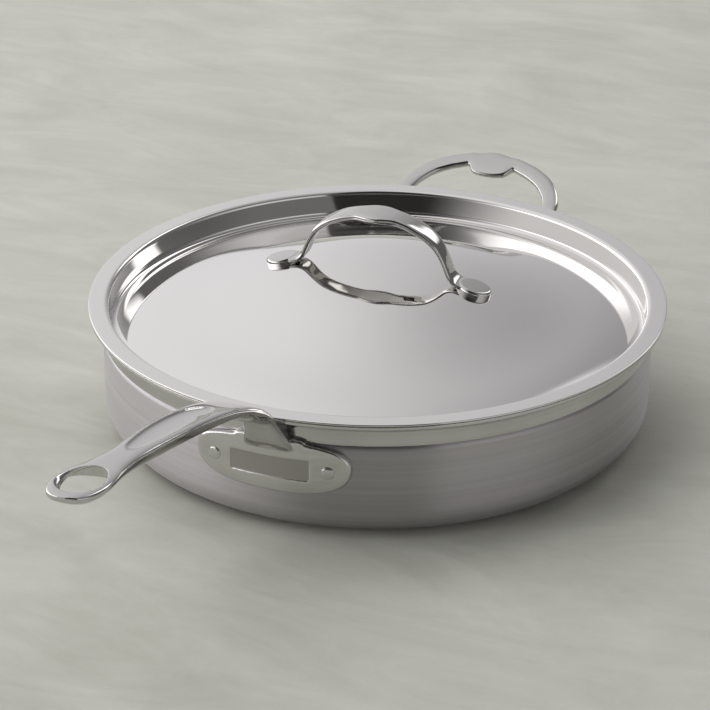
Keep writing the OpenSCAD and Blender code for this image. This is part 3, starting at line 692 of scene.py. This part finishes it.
# hanging eye: an egg-shaped hole that flares towards both faces, on the arm's slope
def eyeCutter():
    g = grip
    middle = g["eyeBack"] + g["eyeLength"] / 2
    near = 8
    lean = math.atan((armHeight(middle - near) - armHeight(middle + near)) / (2 * near))
    angle = np.linspace(0, 2 * math.pi, 96, endpoint=False)
    face = g["endT"] / 2
    heights = np.concatenate([np.linspace(-9, -face, 4), np.linspace(-0.45, 0.45, 15) * g["endT"],
                              np.linspace(face, 9, 4)])
    rings = []
    for h in heights:
        flare = g["eyeFlare"] * min(1, abs(h) / face) ** 2.4
        y = -(g["eyeLength"] / 2 + flare) * np.cos(angle)
        x = (g["eyeWidth"] / 2 + flare) * np.sin(angle) * (1 + 0.06 * np.cos(angle))
        rings.append(np.stack([x, y * math.cos(lean) - h * math.sin(lean),
                               y * math.sin(lean) + h * math.cos(lean)], -1))
    centre = np.array([0, -wallR - g["length"] + middle, armHeight(middle) - face])
    return closedLoft("eyeCutter", np.array(rings) + centre)


# shallow recess with round corners, its floor bent like the flange
def recessCutter():
    halfWide, halfTall, cornerR = grip["recessWidth"] / 2, grip["recessHeight"] / 2, grip["recessR"]
    corners = [arcPoints((x * (halfWide - cornerR), z * (halfTall - cornerR)), cornerR, a, a + 90, 8)
               for x, z, a in ((1, 1, 0), (-1, 1, 90), (-1, -1, 180), (1, -1, 270))]
    outline = evenLine(np.concatenate(corners + [corners[0][:1]]), 1.0)[:-1] + [0, rivetZ]
    centre = np.array([0, rivetZ])
    rings = [sidedRing(outline, centre, k, 0, frontR - grip["recessT"], -1) for k in np.linspace(0.03, 1, 24)]
    rings += [sidedRing(outline, centre, 1, 0, frontR + h, -1) for h in (0, 1, 4)]
    return closedLoft("recessCutter", np.array(rings))


def buildLongHandle():
    arm = carriedSection("arm", splineRows(armRows(), 12), (0, 0.3, 0.95), 72, (0.55, 0.5, 0.75))
    plate = handlePlate()
    groove = grooveCutter()
    hollow = carriedSection("hollowCutter", splineRows(hollowRows(), 12), hollowUp, 48, (0.8, 0.9, 0.8))
    eye = eyeCutter()
    wall = wallCutter()
    seats = seatCutters(-1, grip["rivetSpan"], grip["seatR"], grip["seatT"])
    recess = recessCutter()
    cutAway(arm, [groove, eye, wall])
    cutAway(plate, [wall, recess] + seats)
    cutAway(arm, [hollow], True)
    cutAway(plate, [hollow], True)
    dropPieces([groove, eye, hollow, wall, recess] + seats)
    return castPiece("longHandleCasting", [arm, plate], grip["grain"], grip["softening"])


# helper handle: a loop of strap on a bent plate
helper = {"reach": 58.7, "width": 106.6, "strap": 10.6, "eye": 21.8, "thick": 5.0, "tilt": 20.8,
          "rootDrop": 11.0, "rootOut": 2.7, "flangeWidth": 112.0, "flangeHeight": 26.0, "rivetSpan": 56.0,
          "middle": 26.0, "fade": 10.0, "smoothing": 81, "grain": 0.45, "softening": 12}


# half of the loop: shares of its half width and reach, half width of the strap. The last rows turn down to
# the plate: share of the half width, distance out from the wall, height under the lip
def helperRows():
    h = helper
    half = (h["width"] - h["strap"]) / 2
    slope = math.tan(math.radians(h["tilt"]))
    strap, eye = h["strap"], h["eye"]
    loop = [[0, 0.815, eye / 2], [0.1, 0.815, eye * 0.48], [0.188, 0.817, eye * 0.42],
            [0.25, 0.835, eye * 0.325], [0.312, 0.853, strap * 0.52],
            [0.37, 0.84, strap * 0.49], [0.47, 0.805, strap * 0.5], [0.583, 0.762, strap * 0.51],
            [0.77, 0.654, strap * 0.51], [0.91, 0.51, strap * 0.5], [0.978, 0.385, strap * 0.48],
            [1, 0.285, strap * 0.47]]
    section = [h["thick"], h["thick"] * 0.48]
    root = pan["height"] - h["rootDrop"]
    side = [[half * x, wallR + h["reach"] * y, root + slope * (h["reach"] * y - h["rootOut"]), w] + section
            for x, y, w in loop]
    for x, y, z in ((0.995, 15.8, -10.5), (0.98, 11.4, -15.2), (0.96, 7.6, -20.5), (0.945, 4, -25.5),
                    (0.94, 0.5, -30)):
        out = half * x
        side.append([out, math.sqrt(wallR ** 2 - out * out) + y, pan["height"] + z, strap / 2] + section)
    return splineRows([[-r[0]] + r[1:] for r in side[:0:-1]] + side, 12)


# the strap's path in calm form near the middle, where the real one swerves round the wide part
def helperGuide(rows):
    reach = helper["smoothing"]
    weights = np.hanning(reach) / np.hanning(reach).sum()
    calm = np.stack([np.convolve(np.pad(rows[:, k], reach // 2, "edge"), weights, "valid")
                     for k in range(3)], -1)
    share = np.clip((helper["middle"] - np.abs(rows[:, :1])) / helper["fade"], 0, 1)
    return calm * share + rows[:, :3] * (1 - share)


# half of the helper's flange outline as shares of its half width and height, from the middle of its foot
def helperPlate():
    half = np.array([[0, 0], [0.25, 0], [0.5, 0.01], [0.72, 0.05], [0.88, 0.14], [0.97, 0.3], [1, 0.5],
                     [0.97, 0.7], [0.88, 0.86], [0.72, 0.95], [0.5, 0.99], [0.25, 1], [0, 1]])
    full = np.concatenate([half, half[-2:0:-1] * [-1, 1]])
    outline = (splineRows(full, 12, True) - [0, 0.5]) * [helper["flangeWidth"] / 2, helper["flangeHeight"]]
    return flangePlate("helperPlate", outline + [0, rivetZ], 1)


def buildHelperHandle():
    rows = helperRows()
    loop = carriedSection("helperLoop", rows, (0, -0.36, 0.93), 64, (0.6, 0.6, 0.65), helperGuide(rows))
    plate = helperPlate()
    wall = wallCutter()
    seats = seatCutters(1, helper["rivetSpan"], grip["seatR"], grip["seatT"])
    cutAway(loop, [wall])
    cutAway(plate, [wall] + seats)
    dropPieces([wall] + seats)
    return castPiece("helperHandleCasting", [loop, plate], helper["grain"], helper["softening"])


# gives a piece its material and tells the frame its body and the nodes it stands in for
def wear(piece, material, body, slot, *nodes):
    piece.data.materials.clear()
    piece.data.materials.append(material)
    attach(piece, body)
    if nodes:
        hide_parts(*nodes)


mirror = mirrorSteel()
casting = polishedCasting("polishedCasting")
handleCasting = polishedCasting("polishedHandleCasting", {
    "half": (grip["recessWidth"] / 2 - 0.3) * 0.001, "z": rivetZ * 0.001,
    "halfTall": (grip["recessHeight"] / 2 - 0.3) * 0.001, "from": 0.15, "radius": (frontR - 0.3) * 0.001})
brushed = brushedSteel("brushedSteel", ("#b5b2b3", "#c3c1c1"), (0.34, 0.42))
interior = brushedSteel("cookingSteel", ("#c6c6c4", "#cecdcb"), (0.2, 0.3))
bandSteel = brushedSteel("bandSteel", ("#bdbcba", "#c5c4c2"), (0.1, 0.16))
aluminium = rolledAluminium()

brushedBody = buildBody()
polishedBand = buildBand()
cookingSurface = buildCookingSurface()
wear(brushedBody, brushed, "pan", "brushed_stainless", "pan_outer_skin")
wear(polishedBand, bandSteel, "pan", "brushed_stainless", "pan_outer_skin")
wear(cookingSurface, interior, "pan", "inner_stainless", "pan_inner_skin")
print("pan made")
lidShell = buildLid()
wear(lidShell, mirror, "lid", "lid_stainless", "lid_shell")
lidHandle = buildArch()
wear(lidHandle, casting, "lid", "cast_stainless", "lid_handle")
print("lid made")
longHandle = buildLongHandle()
wear(longHandle, handleCasting, "pan", "cast_stainless", "main_handle")
helperHandle = buildHelperHandle()
wear(helperHandle, casting, "pan", "cast_stainless", "helper_handle")
print("handles made")
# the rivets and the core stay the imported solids, with new materials
for nodeName, material in (("main_handle_rivets", casting), ("helper_handle_rivets", casting),
                           ("pan_core", aluminium)):
    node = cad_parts[nodeName]
    node.data.materials.clear()
    node.data.materials.append(material)

floorHalf = 4000
corners = [[x * floorHalf, y * floorHalf, 0] for x, y in ((-1, -1), (1, -1), (1, 1), (-1, 1))]
floor = meshPiece("floor", corners, [[0, 1, 2, 3]], False)
floor.data.materials.append(trowelledCement())

# camera, fitted to the rim and the handle: distance, turn and elevation to a point on the pan's axis. The
# focal length is in the camera's own pixels, 710 across
view = {"focal": 2621.25, "pixels": 710, "sensor": 36, "distance": 1.5, "elevation": 25.8, "azimuth": 21.2,
        "roll": 0.1, "shiftRight": -0.0128, "shiftUp": -0.0355}


def placeCamera():
    e = math.radians(view["elevation"])
    a = math.radians(view["azimuth"])
    r = math.radians(view["roll"])
    ahead = Vector((-math.sin(a) * math.cos(e), math.cos(a) * math.cos(e), -math.sin(e)))
    right = Vector((math.cos(a), math.sin(a), 0))
    up = right.cross(ahead)
    place = Vector((0, 0, lidZ * 0.001)) - view["distance"] * ahead
    place += view["shiftRight"] * right + view["shiftUp"] * up
    turnedRight = math.cos(r) * right + math.sin(r) * up
    turnedUp = -math.sin(r) * right + math.cos(r) * up
    data = bpy.data.cameras.new("camera")
    data.sensor_width = view["sensor"]
    data.lens = view["focal"] / view["pixels"] * view["sensor"]
    data.clip_end = 100
    camera = bpy.data.objects.new("camera", data)
    bpy.context.scene.collection.objects.link(camera)
    turn = Matrix((turnedRight, turnedUp, -ahead)).transposed().to_4x4()
    turn.translation = place
    camera.matrix_world = turn
    bpy.context.scene.camera = camera


# studio light: one wide soft window. azimuth is turned from the side of the camera, positive to its right.
# Only the room gives the reflections, so the lamp is hidden from them
window = {"azimuth": -120, "elevation": 60, "distance": 2.2, "size": (3.2, 2.6), "power": 26}


def placeWindow():
    a = math.radians(view["azimuth"] - 90 + window["azimuth"])
    e = math.radians(window["elevation"])
    away = Vector((math.cos(a) * math.cos(e), math.sin(a) * math.cos(e), math.sin(e)))
    data = bpy.data.lights.new("windowLeft", "AREA")
    data.shape = "RECTANGLE"
    data.size, data.size_y = window["size"]
    data.energy = window["power"]
    lamp = bpy.data.objects.new("windowLeft", data)
    bpy.context.scene.collection.objects.link(lamp)
    lamp.rotation_euler = away.to_track_quat("Z", "Y").to_euler()
    lamp.location = away * window["distance"]
    lamp.visible_glossy = False


# the room around the set: levels of light from the side of the window, from the middle of the wall behind,
# from the far side, and from the dark corner where the camera stands. Sides are sines to the camera's right,
# turns are degrees from the camera, positive to its right, and heights are sines over the floor
room = {"colour": "#f3f1f4", "window": 3.0, "left": 1.0, "right": 0.46, "farRight": 0.17, "front": 0.12,
        "frontRight": 0.8, "strip": 2.2, "wallSides": (-0.35, 0.45), "windowSides": (-0.35, -0.8),
        "windowHeights": (0.5, 0.15), "farSides": (0.25, 0.8), "darkLeft": (-84, -24), "darkRight": (22, 24),
        "darkEnd": (100, 50), "darkHeights": (0.35, 0.65), "darkAbove": 0.3, "stripIn": (126, 132),
        "stripOut": (152, 144), "stripFoot": (0.2, 0.4), "stripHead": (0.9, 0.7)}


# a level goes from low to high while a value goes over the room's span of that name
def buildRoom():
    world = bpy.data.worlds.new("room")
    bpy.context.scene.world = world
    world.use_nodes = True
    tree = world.node_tree
    tree.nodes.clear()
    a = math.radians(view["azimuth"] - 90)
    toCamera = Vector((math.cos(a), math.sin(a), 0))
    toRight = Vector((-math.sin(a), math.cos(a), 0))
    dot = {"operation": "DOT_PRODUCT"}
    place = addNode(tree, "ShaderNodeTexCoord").outputs["Generated"]
    front = addNode(tree, "ShaderNodeVectorMath", dot, i0=place, i1=toCamera).outputs["Value"]
    side = addNode(tree, "ShaderNodeVectorMath", dot, i0=place, i1=toRight).outputs["Value"]
    turn = addNode(tree, "ShaderNodeMath", {"operation": "ARCTAN2"}, i0=side, i1=front).outputs[0]
    height = addNode(tree, "ShaderNodeSeparateXYZ", None, i0=place).outputs[2]
    levels = {}
    for name, value, low, high in (
            ("wallSides", side, room["left"], room["right"]),
            ("windowSides", side, 0.0, room["window"] - room["left"]),
            ("windowHeights", height, 0.0, 1.0),
            ("farSides", side, 0.0, room["farRight"] - room["right"]),
            ("darkLeft", turn, 0.0, 1.0), ("darkEnd", turn, 0.0, 1.0),
            ("darkRight", turn, room["front"], room["frontRight"]),
            ("darkHeights", height, 1.0, room["darkAbove"]),
            ("stripIn", turn, 0.0, 1.0), ("stripOut", turn, 0.0, 1.0),
            ("stripFoot", height, 0.0, room["strip"]), ("stripHead", height, 0.0, 1.0)):
        span = np.radians(room[name]) if value == turn else room[name]
        style = None if name == "darkRight" else eased
        levels[name] = addNode(tree, "ShaderNodeMapRange", style, i0=value, i1=span[0], i2=span[1],
                               i3=low, i4=high)

    # the levels of one list multiplied together
    def product(*names):
        out = levels[names[0]].outputs[0]
        for name in names[1:]:
            out = addNode(tree, "ShaderNodeMath", times, i0=out, i1=levels[name].outputs[0]).outputs[0]
        return out

    glow = product("windowSides", "windowHeights")
    around = addNode(tree, "ShaderNodeMath", plus, i0=product("wallSides"), i1=glow).outputs[0]
    around = addNode(tree, "ShaderNodeMath", plus, i0=around, i1=product("farSides")).outputs[0]
    # the dark corner takes over near the camera: its right part is lighter, with a crisp edge between them
    corner = addNode(tree, "ShaderNodeMix", valueMix, i0=product("darkLeft", "darkEnd"), i2=around,
                     i3=product("darkRight", "darkHeights")).outputs[0]
    # a tall soft strip far behind to the right, which draws the bright lines along rims and edges
    strip = product("stripIn", "stripOut", "stripFoot", "stripHead")
    level = addNode(tree, "ShaderNodeMath", plus, i0=corner, i1=strip).outputs[0]
    light = addNode(tree, "ShaderNodeBackground", None, Color=hexColour(room["colour"]), Strength=level)
    addNode(tree, "ShaderNodeOutputWorld", None, i0=light.outputs[0])


placeCamera()
placeWindow()
buildRoom()
bpy.context.scene.view_settings.view_transform = "Standard"
print("stage set")
